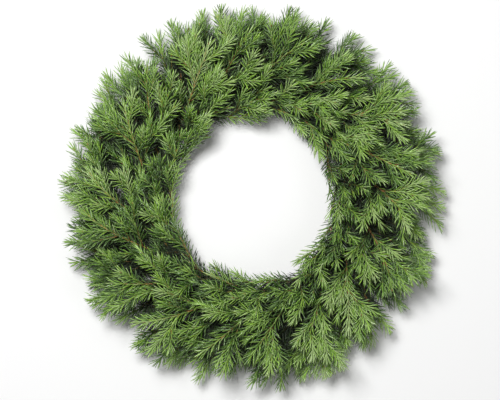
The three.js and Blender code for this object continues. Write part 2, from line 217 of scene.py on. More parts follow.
# %% [markdown]
# ## The rule that lays the sprays
# A maker lays three sprays to a bunch: one low and outwards, one over the face and one along the
# inner edge, and moves on clockwise, as seen from the front. The CAD's rule does so with seeded
# draws, and the same draws here put every fine twig along its coarse one. The twigs could be read
# back from the CAD's faces, but a rule is exact and shorter. Its lengths are in millimetres and its
# angles in degrees.

# %% The wreath's measures
SEED = 14
REACH = 305.0
HOLE_RADIUS = 107.0
STATIONS = 18
STATION_STEP = 360 / STATIONS
GAP = 0.3
RING_RADIUS = 152.5
RING_WIRE = 4.0
RING_HALF_HEIGHT = RING_WIRE / 2 * math.sin(math.pi / 3)
BINDING_WIRE = 0.9
TURNS_PER_STATION = 2
FIRST_TURN = 1.5
WIRE_SLACK = 0.6
BUTT_RADIUS = 2.5
BOUND_SPAN = 14.0
RING_BOTTOM = BINDING_WIRE + GAP
LOW_SEAT = RING_BOTTOM + 2 * RING_HALF_HEIGHT + GAP + BUTT_RADIUS / 2
HIGH_SEAT = LOW_SEAT + 1.5 * BUTT_RADIUS + GAP
STEM_HALF_WIDTH = BUTT_RADIUS * math.cos(math.pi / 6)
SIDE_SEAT = STEM_HALF_WIDTH + GAP
print("stems lie", round(LOW_SEAT, 1), "and", round(HIGH_SEAT, 1), "mm above the table")

# %% [markdown]
# ## The three sprays of a bunch
# A cut spray is a leader with two to four side branches. It could be drawn once and copied, but no
# two cut sprays are alike, so each row has a plan, and every spray differs from it by small draws.
# A branch's line holds its place along the leader, its side, angle, lift and length.

# %% Plan the three rows
ROWS = [
    dict(
        name="outer",
        seat=(RING_RADIUS + SIDE_SEAT, LOW_SEAT),
        tip=dict(radius=282, advance=33, height=31, lean=49, climb=2),
        branches=[
            (0.2, -1, 44, 24, 74),
            (0.36, 1, 37, 6, 94),
            (0.54, -1, 38, 14, 82),
            (0.7, 1, 35, 4, 62),
        ],
    ),
    dict(
        name="face",
        seat=(RING_RADIUS, HIGH_SEAT),
        tip=dict(radius=246, advance=38, height=78, lean=46, climb=3),
        branches=[(0.2, 1, 42, 2, 78), (0.42, -1, 42, 8, 68), (0.63, 1, 38, 0, 68)],
    ),
    dict(
        name="inner",
        seat=(RING_RADIUS - SIDE_SEAT, LOW_SEAT),
        tip=dict(radius=130, advance=42, height=48, lean=0, climb=12),
        branches=[(0.26, 1, 46, 50, 56), (0.56, 1, 42, 34, 50)],
    ),
]
TIP_SPREAD = dict(radius=13, advance=4, height=7, lean=9)
FORK_SPREAD = 0.03
ANGLE_SPREAD = 6
LENGTH_SPREAD = 0.14
ROOT_PULL = 0.18
TIP_PULL = 0.35
BRANCH_BEND = 18
LIFT_TRIES = [0, 16, -16, 32, -32, 48, -48]
ENOUGH_ROOM = 15
LEAST_ROOM = 3.2
BRANCH_FLOOR = 9
BRANCH_REACH = REACH - 13
BRANCH_HOLE = HOLE_RADIUS + 11
SHOULDER_RADIUS = 2.1
LEADER_TIP_RADIUS = 1.1
BRANCH_ROOT_RADIUS = 1.4
BRANCH_TIP_RADIUS = 0.95
print("branches in a bunch:", sum(len(row["branches"]) for row in ROWS))

# %% [markdown]
# ## Draws, places and directions
# Chance makes a wreath look grown, but the fine twigs must lie on the coarse ones. So a draw isn't
# taken from a shared sequence. It is worked out from the numbers of its row, station and purpose,
# and comes out the same here as in the CAD.

# %% Make the draws and directions
MASK = 0xFFFFFFFF
UP = np.array([0.0, 0.0, 1.0])


def draw(*keys):
    """A repeatable number from 0 to 1 for each list of whole numbers."""
    mixed = SEED
    for key in keys:
        mixed = ((mixed ^ ((key + 0x9E3779B9) & MASK)) * 0x85EBCA6B) & MASK
        mixed ^= mixed >> 13
        mixed = (mixed * 0xC2B2AE35) & MASK
        mixed ^= mixed >> 16
    return mixed / 2**32


def spread(amount, *keys):
    return amount * (2 * draw(*keys) - 1)


def unit(vectors):
    return vectors / np.linalg.norm(vectors, axis=-1, keepdims=True)


def upright(forward):
    """The direction nearest to upright that is square to each one given."""
    return unit(UP - forward * (forward @ UP)[..., None])


def polar(advance, radius, height):
    """The place that lies an angle clockwise round the ring."""
    angle = math.radians(advance)
    return np.array([radius * math.cos(angle), -radius * math.sin(angle), height])


def heading(advance, lean, climb):
    """The direction there that leans outwards from clockwise and climbs from level."""
    angle = math.radians(advance + 90 - lean)
    climb = math.radians(climb)
    level = math.cos(climb)
    return np.array([level * math.cos(angle), -level * math.sin(angle), math.sin(climb)])


def turned(first, second, angle):
    """The direction at an angle from the first towards the second."""
    return first * math.cos(angle) + second * math.sin(angle)


print("first draw:", round(draw(0, 0, 1), 6))

# %% [markdown]
# ## Twigs as Bézier curves
# A cut spray droops and lifts in one sweep, which a cubic Bézier curve gives with four points. A
# side branch starts off at its fork's angle and turns a little towards the light, so three points
# do. Blender has such curves too, but needles need places at even distances, so a small class
# measures each curve once and reads it by the share of its length.

# %% The curve
class Curve:
    """A Bézier curve that is read by the share of its length."""

    STEPS = np.linspace(0, 1, 201)
    TINY_STEP = 1e-4

    def __init__(self, *control):
        self.control = np.array(control)
        hops = np.linalg.norm(np.diff(self.raw(self.STEPS), axis=0), axis=1)
        self.travelled = np.concatenate([[0], np.cumsum(hops)])
        self.length = self.travelled[-1]

    def raw(self, steps):
        steps = np.atleast_1d(steps)[:, None]
        points = self.control[:, None, :]
        while len(points) > 1:
            points = points[:-1] * (1 - steps) + points[1:] * steps
        return points[0]

    def steps_at(self, shares):
        return np.interp(np.atleast_1d(shares) * self.length, self.travelled, self.STEPS)

    def at(self, shares):
        return self.raw(self.steps_at(shares))

    def forward(self, shares):
        steps = self.steps_at(shares)
        before, after = np.maximum(steps - self.TINY_STEP, 0), np.minimum(steps + self.TINY_STEP, 1)
        return unit(self.raw(after) - self.raw(before))


def leader_curve(row_index, station):
    """The free part of a spray's leader, from its binding to its tip."""
    row = ROWS[row_index]
    start = station * STATION_STEP + BOUND_SPAN

    def vary(name, key):
        return row["tip"][name] + spread(TIP_SPREAD[name], row_index, station, key)

    advance = start + vary("advance", 1)
    root = polar(start, *row["seat"])
    tip = polar(advance, vary("radius", 2), vary("height", 3))
    length = np.linalg.norm(root - tip)
    root_handle = root + heading(start, 0, 0) * ROOT_PULL * length
    tip_handle = tip - heading(advance, vary("lean", 4), row["tip"]["climb"]) * TIP_PULL * length
    return Curve(root, root_handle, tip_handle, tip)


def fork(curve, at, side, lift):
    """Where a side twig starts, and the directions forwards and out to its side there."""
    root, forward = curve.at(at)[0], curve.forward(at)[0]
    normal = upright(forward)
    return root, forward, turned(np.cross(normal, forward) * side, normal, lift)


def branch_curve(leader, branch, change, keys):
    """A branch that leaves its leader to one side, lifted out of the spray's plane."""
    at, side, angle, lift, length = branch
    at = at + spread(FORK_SPREAD, *keys, 3)
    root, forward, outward = fork(leader, at, side, math.radians(lift + change))
    angle = angle + spread(ANGLE_SPREAD, *keys, 1)
    half = length * (1 + spread(LENGTH_SPREAD, *keys, 2)) / 2
    middle = root + turned(forward, outward, math.radians(angle)) * half
    tip = middle + turned(forward, outward, math.radians(angle - BRANCH_BEND)) * half
    level = math.hypot(tip[0], tip[1])
    excess = max(0, level - BRANCH_REACH, BRANCH_HOLE - level, BRANCH_FLOOR - tip[2])
    kept = 1 - excess / (2 * half)
    return Curve(root, root + (middle - root) * kept, root + (tip - root) * kept)


leaders = [
    (row, station, leader_curve(row, station))
    for row in range(len(ROWS))
    for station in range(STATIONS)
]
mean_length = np.mean([leader.length for _, _, leader in leaders])
print("leaders:", len(leaders), "mean length:", round(mean_length), "mm")

# %% [markdown]
# ## Room for the branches
# Twigs in a real wreath slip past one another. A simulation could settle them, but then they would
# no longer match the CAD. So the rule tries a branch at several lifts, and keeps the one with most
# room to the twigs already laid.

# %% Lay the branches
LEADER_RODS = 8
BRANCH_RODS = 3
BRANCH_KEY = 10  # the first number of the branches' draws
ROOM_GAIN = 0.5  # a later lift must give this much more room
PARALLEL = 1e-9
NO_LEADER = -1


def rods_along(curve, steps, first_radius, last_radius):
    """Straight rods along a curve: their ends and the radii there."""
    shares = np.linspace(0, 1, steps + 1)
    points = curve.at(shares)
    radii = first_radius + (last_radius - first_radius) * shares
    return points[:-1], points[1:], radii[:-1], radii[1:]


def room(rod, others):
    """The clear space between a rod and each other one, nearest at shares s and t."""
    a, b, a_radius, b_radius = rod
    c, d, c_radius, d_radius = others
    ab, cd, ca = b - a, d - c, a - c
    abab, cdcd = ab @ ab, (cd * cd).sum(1)
    abcd, abca, cdca = cd @ ab, ca @ ab, (ca * cd).sum(1)
    spanned = abab * cdcd - abcd**2
    s = np.clip((abcd * cdca - abca * cdcd) / np.maximum(spanned, PARALLEL), 0, 1)
    s = np.where(spanned > PARALLEL, s, 0)
    t = (abcd * s + cdca) / cdcd
    t_held = np.clip(t, 0, 1)
    s = np.where(t == t_held, s, np.clip((t_held * abcd - abca) / abab, 0, 1))
    apart = np.linalg.norm(a + ab * s[:, None] - c - cd * t_held[:, None], axis=1)
    return apart - a_radius - (b_radius - a_radius) * s - c_radius - (d_radius - c_radius) * t_held


laid = [
    rods_along(leader, LEADER_RODS, SHOULDER_RADIUS, LEADER_TIP_RADIUS)
    for _, _, leader in leaders
]
laid = [np.concatenate(column) for column in zip(*laid)]
owners = [number for number in range(len(leaders)) for _ in range(LEADER_RODS)]
sprays = []
for number, (row, station, leader) in enumerate(leaders):
    branches = []
    for index, branch in enumerate(ROWS[row]["branches"]):
        others = [column[np.array(owners) != number] for column in laid]
        best = None
        for change in LIFT_TRIES:
            curve = branch_curve(leader, branch, change, (row, station, BRANCH_KEY + index))
            rods = rods_along(curve, BRANCH_RODS, BRANCH_ROOT_RADIUS, BRANCH_TIP_RADIUS)
            free = min(ENOUGH_ROOM, *(room(rod, others).min() for rod in zip(*rods)))
            if best is None or free > best[0] + ROOM_GAIN:
                best = (free, curve, rods)
        if best[0] >= LEAST_ROOM:
            branches.append(best[1])
            laid = [np.concatenate(pair) for pair in zip(laid, best[2])]
            owners += [NO_LEADER] * BRANCH_RODS
    name = f"spray_{ROWS[row]['name']}_{station + 1:02d}"
    sprays.append(dict(name=name, row=row, station=station, leader=leader, branches=branches))
print("sprays:", len(sprays), "branches:", sum(len(spray["branches"]) for spray in sprays))

# %% [markdown]
# ## A test of the rule
# A fine spray that lay beside its coarse one would be wrong from every side. Pictures show that
# late, so numbers show it now: every fine twig has to lie inside the box of its CAD node.

# %% Compare the twigs with their nodes
BOX_SLACK = 0.5
outside = 0
for spray in sprays:
    low, high = (np.array(corner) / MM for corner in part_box(spray["name"]))
    for curve in [spray["leader"], *spray["branches"]]:
        points = curve.at(np.linspace(0, 1, 20))
        outside += int(((points < low - BOX_SLACK) | (points > high + BOX_SLACK)).any())
print("twigs outside their nodes:", outside)

# %% [markdown]
# ## Side shoots
# A spruce spray carries short side shoots between its branches, which fill the brush out. On the
# outer row some of them rise, and close the slot below the face row. Others hang below every spray,
# and make the gaps nearly black. They could be branches in the CAD, but are too many for it, so
# three plans grow them here from the same curves. The shoots of each spray end at a radius of its
# own, which keeps the rim uneven, and they draw back from the hole in slow waves.

# %% Add the side shoots
SHOOT_LENGTH = (36, 54)
SHOOT_ANGLES = (30, 42)
SHOOT_FLOOR = 5
SHOOT_CEILING = 94
LEVEL_SPREAD = 10.0
HOLE_DEPTH = 12.0  # how far shoots draw back from the hole
HOLE_WAVES = [(5, 1.3), (8, 0.4)]  # waves round the hole, and their phases
# A plan holds the lifts, how near to the middle and how far out tips may lie, the shares of the
# full length on a leader and on a branch, and the places along both for each row.
SHOOT_PLANS = [
    dict(
        kind="shoots", seed=400, lifts=(-5, 45), levels=(BRANCH_HOLE - 8, 292), shares=(1.0, 0.85),
        on_leader=[
            (0.12, 0.28, 0.46, 0.62, 0.79, 0.86),
            (0.12, 0.31, 0.54, 0.74, 0.84),
            (0.14, 0.42, 0.7, 0.8),
        ],
        on_branches=[(0.36, 0.68)] * 3,
    ),
    dict(  # rising, in the outer row alone
        kind="shoots", seed=600, lifts=(50, 78), levels=(BRANCH_HOLE, 266), shares=(0.95, 0.8),
        on_leader=[(0.48, 0.62, 0.76, 0.9), (), ()],
        on_branches=[(0.6, 0.85), (), ()],
    ),
    dict(  # hanging
        kind="low_shoots", seed=500, lifts=(-70, -20), levels=(128, 273), shares=(1.0, 0.8),
        on_leader=[(0.05, 0.15, 0.25, 0.35, 0.45, 0.55, 0.65, 0.75)] * 3,
        on_branches=[(0.2, 0.45, 0.7)] * 3,
    ),
]


def hole_wave(places):
    """How far the hole's edge draws back at each place, as it is nowhere quite round."""
    around = np.arctan2(places[..., 1], places[..., 0])
    waves = (0.5 * np.sin(count * around + phase) for count, phase in HOLE_WAVES)
    return HOLE_DEPTH * sum(waves, 1)


def side_shoots(station, places, plan, rng):
    """Short shoots at places along twigs, to one side and the other in turn."""
    shoots = []
    nearest, furthest = plan["levels"]
    furthest += rng.uniform(-LEVEL_SPREAD, LEVEL_SPREAD)
    for index, (parent, at, share) in enumerate(places):
        side = 1 if (index + station) % 2 else -1
        lift = math.radians(rng.uniform(*plan["lifts"]))
        root, forward, outward = fork(parent, at, side, lift)
        angle = math.radians(rng.uniform(*SHOOT_ANGLES))
        half = rng.uniform(*SHOOT_LENGTH) * share / 2
        middle = root + turned(forward, outward, angle) * half
        tip = middle + turned(forward, outward, angle - math.radians(BRANCH_BEND)) * half
        middle[2], tip[2] = max(middle[2], SHOOT_FLOOR), max(tip[2], SHOOT_FLOOR)
        level = math.hypot(tip[0], tip[1])
        if nearest + hole_wave(tip) < level < furthest and tip[2] < SHOOT_CEILING:
            shoots.append(Curve(root, middle, tip))
    return shoots


for number, spray in enumerate(sprays):
    spray["shoots"], spray["low_shoots"] = [], []
    for plan in SHOOT_PLANS:
        on_leader, on_branch = plan["shares"]
        places = [(spray["leader"], at, on_leader) for at in plan["on_leader"][spray["row"]]]
        places += [
            (curve, at, on_branch)
            for curve in spray["branches"]
            for at in plan["on_branches"][spray["row"]]
        ]
        rng = np.random.default_rng(plan["seed"] + number)
        spray[plan["kind"]] += side_shoots(spray["station"], places, plan, rng)
print("side shoots:", sum(len(spray["shoots"]) for spray in sprays))
print("low shoots:", sum(len(spray["low_shoots"]) for spray in sprays))

# %% [markdown]
# ## Meshes from arrays
# Needles could be added one by one, but tens of thousands take minutes that way. Blender makes a
# mesh of them in a moment when its points, corners and map come as whole arrays. The map is a small
# palette: a needle's own tone runs across it, and the way along the needle runs up it, so the
# finish can read both.

# %% The mesh maker
def side_faces(rings, sides):
    """The corners of each face round a tube."""
    faces = []
    for first in range(0, (rings - 1) * sides, sides):
        for side in range(sides):
            after = (side + 1) % sides
            faces.append((first + side, first + after, first + sides + after, first + sides + side))
    return faces


def make_mesh(name, map_name, blocks):
    """A mesh from blocks of (points, [(faces, map), ...]), each array of faces of one kind."""
    points = np.concatenate([block[0].reshape(-1, 3) for block in blocks])
    starts = np.cumsum([0] + [block[0].size // 3 for block in blocks])
    skins = [
        (faces + start, where)
        for (_, skin), start in zip(blocks, starts)
        for faces, where in skin
    ]
    corners = np.concatenate([faces.ravel() for faces, _ in skins])
    sizes = np.concatenate([np.full(len(faces), faces.shape[1]) for faces, _ in skins])
    places = np.concatenate([where.reshape(-1, 2) for _, where in skins])
    mesh = bpy.data.meshes.new(name)
    mesh.vertices.add(len(points))
    mesh.vertices.foreach_set("co", (points * MM).ravel())
    mesh.loops.add(len(corners))
    mesh.loops.foreach_set("vertex_index", corners.astype(np.int32))
    mesh.polygons.add(len(sizes))
    firsts = np.cumsum(sizes) - sizes
    mesh.polygons.foreach_set("loop_start", firsts.astype(np.int32))
    for layer_name in (map_name, "OFBake"):
        layer = mesh.uv_layers.new(name=layer_name)
        layer.uv.foreach_set("vector", places.ravel())
    mesh.update(calc_edges=True)
    return mesh


def add_piece(mesh, material, node):
    """Puts a mesh in the scene as the fine form of a CAD node."""
    piece = bpy.data.objects.new(mesh.name, mesh)
    scene.collection.objects.link(piece)
    mesh.materials.append(material)
    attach(piece, "root")
    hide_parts(node)


def triangles_in(mesh):
    return len(mesh.loops) - 2 * len(mesh.polygons)


print("mesh helpers ready")

# %% [markdown]
# ## The needles
# A spruce needle is four-sided, keeps its breadth for three quarters of its length and ends in a
# short sharp tip. It curves a little towards the tip of its twig. Needles stand in a spiral that
# turns by the golden angle, so no two are in line, but those from below bend up round the twig, and
# those on top lie forwards and hide it. Near the tip all close up round the bud. Pictures of
# needles on cards would be lighter, but look flat from the side, so each is a small solid.

# %% Set a coat of needles
GOLDEN_TURN = math.radians(137.508)
NEEDLE_LENGTH = 20.5
NEEDLE_WIDTH = 1.8
NEEDLE_DEPTH = 1.35
NEEDLE_RINGS = [(0.0, 0.8), (0.74, 0.9)]  # shares of the length and the width
PLAIN_RINGS = [(0.0, 1.2)]
NEEDLE_BEND = 0.1
NEEDLE_SPREAD = 0.06
ROLL_SPREAD = 0.2
FEWEST_NEEDLES = 10
LAST_NEEDLE = 0.99  # as a share of the twig's length
PLACE_SPREAD = 0.2
TURN_SPREAD = 0.08
COMBED = 0.3  # how far the needles from below turn up round their twig
LEAN = 52  # degrees between a needle and its twig
TIP_CLOSING = (30, 8)  # degrees less at the tip, and the length over which that fades
TOP_CLOSING = 20  # degrees less on top
LEAN_SPREAD = 3
LEAST_LEAN = 6
TIP_SHORTENING = (0.12, 7)
ROOT_SHORTENING = (0.25, 6)
SUNK = 0.8  # a needle's root lies at this share of its twig's radius
LOWEST_NEEDLE = 0.6
TIP_ROOM = 0.5
# The tone along a twig is partly paler young growth, and partly painted light at the tip and
# painted shade at the foot.
TIP_TONE = 0.3  # how much lighter a twig's needles are at its tip, darker at its foot
EVEN_TONE = 0.6  # where along a twig the tone is its own
# painted light: needles on a twig's upper side are lighter, those below darker
PAINTED_TOP_LIGHT = 0.08
TONE_SPREAD = 0.13
PALETTE_STEP = 0.02  # the width of a face across the palette
PALETTE_FOOT = 0.01
PALETTE_LENGTH = 0.47
UNDERSIDE = 0.5  # where the palette's upper half starts
UNDER_SIDES = (0, 0, 1, 1)  # which of a needle's four sides lie below


def fading(change, distance):
    """A change that is whole at distance 0 and fades with it."""
    amount, length = change
    return amount * np.exp(-distance / length)


def coat(curve, first, radii, per_mm, tone, rng):
    """Roots, directions and sizes for the needles of one twig, from a share of its length on."""
    count = max(FEWEST_NEEDLES, int(curve.length * (1 - first) * per_mm))
    along = np.clip(np.linspace(0, 1, count) + rng.normal(0, PLACE_SPREAD / count, count), 0, 1)
    shares = first + (LAST_NEEDLE - first) * along
    spine = curve.at(shares)
    forward = curve.forward(shares)
    normal = upright(forward)
    aside = np.cross(forward, normal)
    turn = GOLDEN_TURN * np.arange(count) + rng.uniform(0, 6.28)
    turn = turn - COMBED * np.sin(turn) + rng.normal(0, TURN_SPREAD, count)
    radial = normal * np.cos(turn)[:, None] + aside * np.sin(turn)[:, None]
    to_tip = (1 - shares) * curve.length
    lean = LEAN - fading(TIP_CLOSING, to_tip) - TOP_CLOSING * np.maximum(0, np.cos(turn))
    lean = np.radians(np.maximum(lean + rng.normal(0, LEAN_SPREAD, count), LEAST_LEAN))
    outward = forward * np.cos(lean)[:, None] + radial * np.sin(lean)[:, None]
    length = NEEDLE_LENGTH * (1 - fading(TIP_SHORTENING, to_tip))
    length *= 1 + rng.normal(0, NEEDLE_SPREAD, count)
    length *= 1 - fading(ROOT_SHORTENING, (shares - first) * curve.length)
    twig_radius = radii[0] + (radii[1] - radii[0]) * shares
    root = spine + radial * (twig_radius * SUNK)[:, None]
    least_rise = (LOWEST_NEEDLE + TIP_ROOM - root[:, 2]) / length
    outward[:, 2] = np.maximum(outward[:, 2], least_rise)
    tones = tone + TIP_TONE * (along - EVEN_TONE) + PAINTED_TOP_LIGHT * np.cos(turn)
    tones += rng.normal(0, TONE_SPREAD, count)
    return root, unit(outward), forward, length, tones


def needle_shapes(root, outward, forward, length, tones, profile, rng):
    """The points, faces and palette places of needles with four sides and a sharp tip."""
    count = len(root)
    bend = unit(forward - outward * (forward * outward).sum(1)[:, None]) * NEEDLE_BEND
    broad = unit(np.cross(outward, bend) + rng.normal(0, ROLL_SPREAD, (count, 3)))
    deep = unit(np.cross(broad, outward))
    rings = []
    for share, width in profile:
        middle = root + outward * (length * share)[:, None] + bend * (length * share**2)[:, None]
        half_broad = broad * NEEDLE_WIDTH * width / 2
        half_deep = deep * NEEDLE_DEPTH * width / 2
        corners = [middle + half_broad, middle + half_deep, middle - half_broad, middle - half_deep]
        rings.append(np.stack(corners, 1))
    tip = root + outward * length[:, None] + bend * length[:, None]
    points = np.concatenate([*rings, tip[:, None, :]], axis=1)
    stride = points.shape[1]
    last = (len(rings) - 1) * 4
    ends = [[last + side, last + (side + 1) % 4, stride - 1] for side in range(4)]
    heights = [share for share, _ in profile]
    quad_map = [
        [(0, low, under), (PALETTE_STEP, low, under), (PALETTE_STEP, high, under), (0, high, under)]
        for low, high in zip(heights, heights[1:])
        for under in UNDER_SIDES
    ]
    top = heights[-1]
    end_map = [
        [(0, top, under), (PALETTE_STEP, top, under), (PALETTE_STEP / 2, 1.0, under)]
        for under in UNDER_SIDES
    ]
    shapes = []
    for faces, places in ((side_faces(len(rings), 4), quad_map), (ends, end_map)):
        if not faces:
            continue
        faces, places = np.array(faces), np.array(places)
        across = tones[:, None, None] + places[:, :, 0]
        up = PALETTE_FOOT + PALETTE_LENGTH * places[:, :, 1] + UNDERSIDE * places[:, :, 2]
        where = np.stack([across, np.broadcast_to(up, across.shape)], axis=-1)
        many = faces + (np.arange(count) * stride)[:, None, None]
        shapes.append((many.reshape(-1, faces.shape[1]), where))
    return points, shapes


print("needle:", NEEDLE_LENGTH, "mm long,", NEEDLE_WIDTH, "mm broad")

# %% [markdown]
# ## The needles' finish
# Spruce green runs from nearly black in the depth of the wreath, which is painted shade, to a fresh
# yellow-green on its face, which is partly painted light, and the waxy skin shines softly. The
# palest needles get a painted whitish glint. The needle's underside has pale lines of pores, its
# tip is pale and its foot brown. A noise in space would cross from needle to needle, so all of it
# comes
# from the palette map: across for the tone, its lower half for the upper side and its upper half
# for the underside. Needles in the shade are also duller, as little there would mirror a lamp.

# %% Paint the needles
# painted shade: the near-black green of needles deep under other twigs
PAINTED_SHADE_GREEN = (0.006, 0.018, 0.003)
LEAF_GREEN = (0.084, 0.192, 0.024)
# a fresh yellow-green, partly young growth and partly painted light on needles in the open
FRESH_AND_LIT_GREEN = (0.34, 0.575, 0.08)
# painted highlight: the whitish glint of the lightest needles
PAINTED_GLINT_GREEN = (0.48, 0.61, 0.28)
PORE_GREEN = (0.33, 0.44, 0.25)
TIP_YELLOW = (0.36, 0.38, 0.15)
FOOT_BROWN = (0.27, 0.19, 0.07)
WAX_ROUGHNESS = 0.25
SHADE_ROUGHNESS = 0.35  # what the deepest shade adds
WAX_SHINE = 0.8


def needle_finish():
    finish = Finish("spruce_needles")
    tone, height = finish.map_axes("needle_map")
    under = height.rise(UNDERSIDE - 0.01, UNDERSIDE)
    along = (height - UNDERSIDE * under - PALETTE_FOOT) / PALETTE_LENGTH
    green = finish.mix(tone.rise(0.05, 0.5), PAINTED_SHADE_GREEN, LEAF_GREEN)
    green = finish.mix(tone.rise(0.5, 0.84), green, FRESH_AND_LIT_GREEN)
    green = finish.mix(tone.rise(0.86, 0.96) * 0.7, green, PAINTED_GLINT_GREEN)
    green = finish.mix(under * 0.3 * tone.rise(0.1, 0.5), green, PORE_GREEN)
    green = finish.mix(along.rise(0.86, 1.0) * 0.35, green, TIP_YELLOW)
    green = finish.mix((1 - along.rise(0.0, 0.09)) * 0.8, green, FOOT_BROWN)
    dull = WAX_ROUGHNESS + SHADE_ROUGHNESS * (1 - tone.rise(0.05, 0.4))
    return finish.set(Base_Color=green, Roughness=dull, Specular_IOR_Level=WAX_SHINE)


needle_material = needle_finish()
print("needle finish made")

# %% [markdown]
# ## Twigs, pegs and buds
# A spruce twig is rough: needles stand on small woody pegs, and it ends in a pointed bud. Bump in
# the finish could hint at pegs, but they show in the outline of a bare twig. So the twig is a
# tapered tube, a low spike stands at every third needle, and the bud is a small spindle.

# %% Shape tubes, pegs and buds
TONE_LIMITS = (0.02, 0.96)
STREAK_DEPTH = 0.05  # how far the tone differs between the sides of a tube
STREAK_TURN = 2.4
CUT_PLACES = [(0.05, 0.01), (0.09, 0.01), (0.07, 0.04)]  # the palette's corner for cut wood
PEG_SIZE = 0.34
PEG_HEIGHT = 2.4  # times its size
PEG_DEPTH = 0.3
PEG_AGE = 0.7
PEG_PLACES = np.array([(0, PEG_AGE), (0.02, PEG_AGE), (0.01, PEG_AGE + 0.02)])
# How far each ring of a bud lies past the tip, and its radius:
BUD_PROFILE = [(-1.2, 0.7), (0.2, 1.25), (1.6, 1.35), (3.0, 0.95), (4.2, 0.15)]
BUD_SIDES = 7
YOUNG = 0.82  # the palette's height for a twig's tip, and above it the buds
BUD_AGES = [0.87, 0.90, 0.93, 0.96, 0.98]


def circles(upward, aside, sides):
    """Directions all round each place of a chain."""
    turns = (np.arange(sides) * 2 * math.pi / sides)[:, None]
    return upward[:, None, :] * np.cos(turns) + aside[:, None, :] * np.sin(turns)


def tube(points, radii, sides, ages, tone):
    """The block of a tube along points, closed at its start."""
    forward = unit(np.gradient(points, axis=0))
    upward = upright(forward)
    around = circles(upward, np.cross(forward, upward), sides)
    skin = points[:, None, :] + around * np.asarray(radii)[:, None, None]
    places = []
    for ring in range(len(points) - 1):
        for side in range(sides):
            left = np.clip(tone + STREAK_DEPTH * math.cos(STREAK_TURN * side + ring), *TONE_LIMITS)
            right = left + PALETTE_STEP
            low, high = ages[ring], ages[ring + 1]
            places.append([(left, low), (right, low), (right, high), (left, high)])
    middle = len(points) * sides
    cap = np.array([[(side + 1) % sides, side, middle] for side in range(sides)])
    skin = np.concatenate([skin.reshape(-1, 3), points[:1]])
    faces = np.array(side_faces(len(points), sides))
    return skin, [(faces, np.array(places)), (cap, np.array([CUT_PLACES] * sides))]


def pegs(root, outward, tones):
    """Low three-sided spikes that stand on a twig."""
    count = len(root)
    root = root - outward * PEG_DEPTH
    first = unit(np.cross(outward, UP + 0.01))
    second = np.cross(outward, first)
    turns = (0, 2 * math.pi / 3, 4 * math.pi / 3)
    feet = [root + turned(first, second, turn) * PEG_SIZE for turn in turns]
    points = np.stack([*feet, root + outward * PEG_SIZE * PEG_HEIGHT], axis=1)
    faces = np.array([[0, 1, 3], [1, 2, 3], [2, 0, 3]])
    many = (faces + (np.arange(count) * 4)[:, None, None]).reshape(-1, 3)
    shape = (count, len(faces), 3)
    across = np.broadcast_to(tones[:, None, None] + PEG_PLACES[:, 0], shape)
    return points, [(many, np.stack([across, np.broadcast_to(PEG_PLACES[:, 1], shape)], axis=-1))]


def bud(curve, size, tone):
    """A small pointed bud at the end of a twig."""
    tip = curve.at(1.0)[0]
    forward = curve.forward(1.0)[0]
    points = np.array([tip + forward * past * size for past, _ in BUD_PROFILE])
    return tube(points, [radius * size for _, radius in BUD_PROFILE], BUD_SIDES, BUD_AGES, tone)


print("twig helpers ready")

# %% [markdown]
# ## The bark's finish
# Spruce bark goes from grey-brown at the cut through orange-brown to a paler young end, and the
# bud is reddish brown. The cut end shows pale wood. An age runs up the palette map from the cut to
# the bud, so a chain of soft steps on that one number gives all of it.

# %% Paint the bark
STEM_BROWN = (0.11, 0.06, 0.035)
OLD_BROWN = (0.33, 0.135, 0.042)
AGE_STEPS = [
    (0.3, 0.82, (0.4, 0.225, 0.08)),  # paler to the young end
    (0.84, 0.87, (0.3, 0.09, 0.03)),  # reddish from the foot of the bud
    (0.93, 0.99, (0.48, 0.23, 0.09)),  # and paler at its point
]
STREAK_BROWN = (0.09, 0.045, 0.025)
CUT_WOOD = (0.62, 0.45, 0.25)


def bark_finish():
    finish = Finish("spruce_bark")
    tone, age = finish.map_axes("bark_map")
    bark = finish.mix(age.rise(0.03, 0.3), STEM_BROWN, OLD_BROWN)
    for start, end, colour in AGE_STEPS:
        bark = finish.mix(age.rise(start, end), bark, colour)
    bark = finish.mix((1 - tone.rise(0.1, 0.7)) * 0.45, bark, STREAK_BROWN)
    cut = (1 - age.rise(0.045, 0.05)) * (1 - tone.rise(0.1, 0.11))
    bark = finish.mix(cut, bark, CUT_WOOD)
    return finish.set(Base_Color=bark, Roughness=0.72)


bark_material = bark_finish()
print("bark finish made")

# %% [markdown]
# ## Build the sprays
# Each spray becomes two pieces on the lines of its CAD node: its wood, and its coat of needles. One
# object with two finishes would do, but two pieces keep every finish to its own mesh. Needles stop
# near the wreath's reach and short of the middle, so the hole stays open. Leaders are older wood,
# which has lost some of them. The low shoots are only seen in the dark, so they get plainer twigs
# and needles, and their needles a darker tone as painted shade.

# %% Grow every spray
COAT_SEED = 700
TWIG_FORMS = {  # sides, steps, radii at the ends, share left bare, root's age, needles to a mm
    "leader": (8, 26, (1.7, 0.8), 0.03, 0.25, 0.85),
    "branches": (6, 8, (0.95, 0.65), 0.07, 0.4, 1.15),
    "shoots": (5, 5, (0.75, 0.6), 0.1, 0.5, 1.15),
    "low_shoots": (3, 3, (0.75, 0.6), 0.1, 0.5, 1.0),
}
BOUND_STEPS = 7
BOUND_RADIUS = 2.2
BOUND_AGE = 0.06
SPRAY_TONES = (0.3, 0.62)
ROW_TONES = (-0.03, 0.04, -0.03)
SHOOT_SPREAD = 0.1
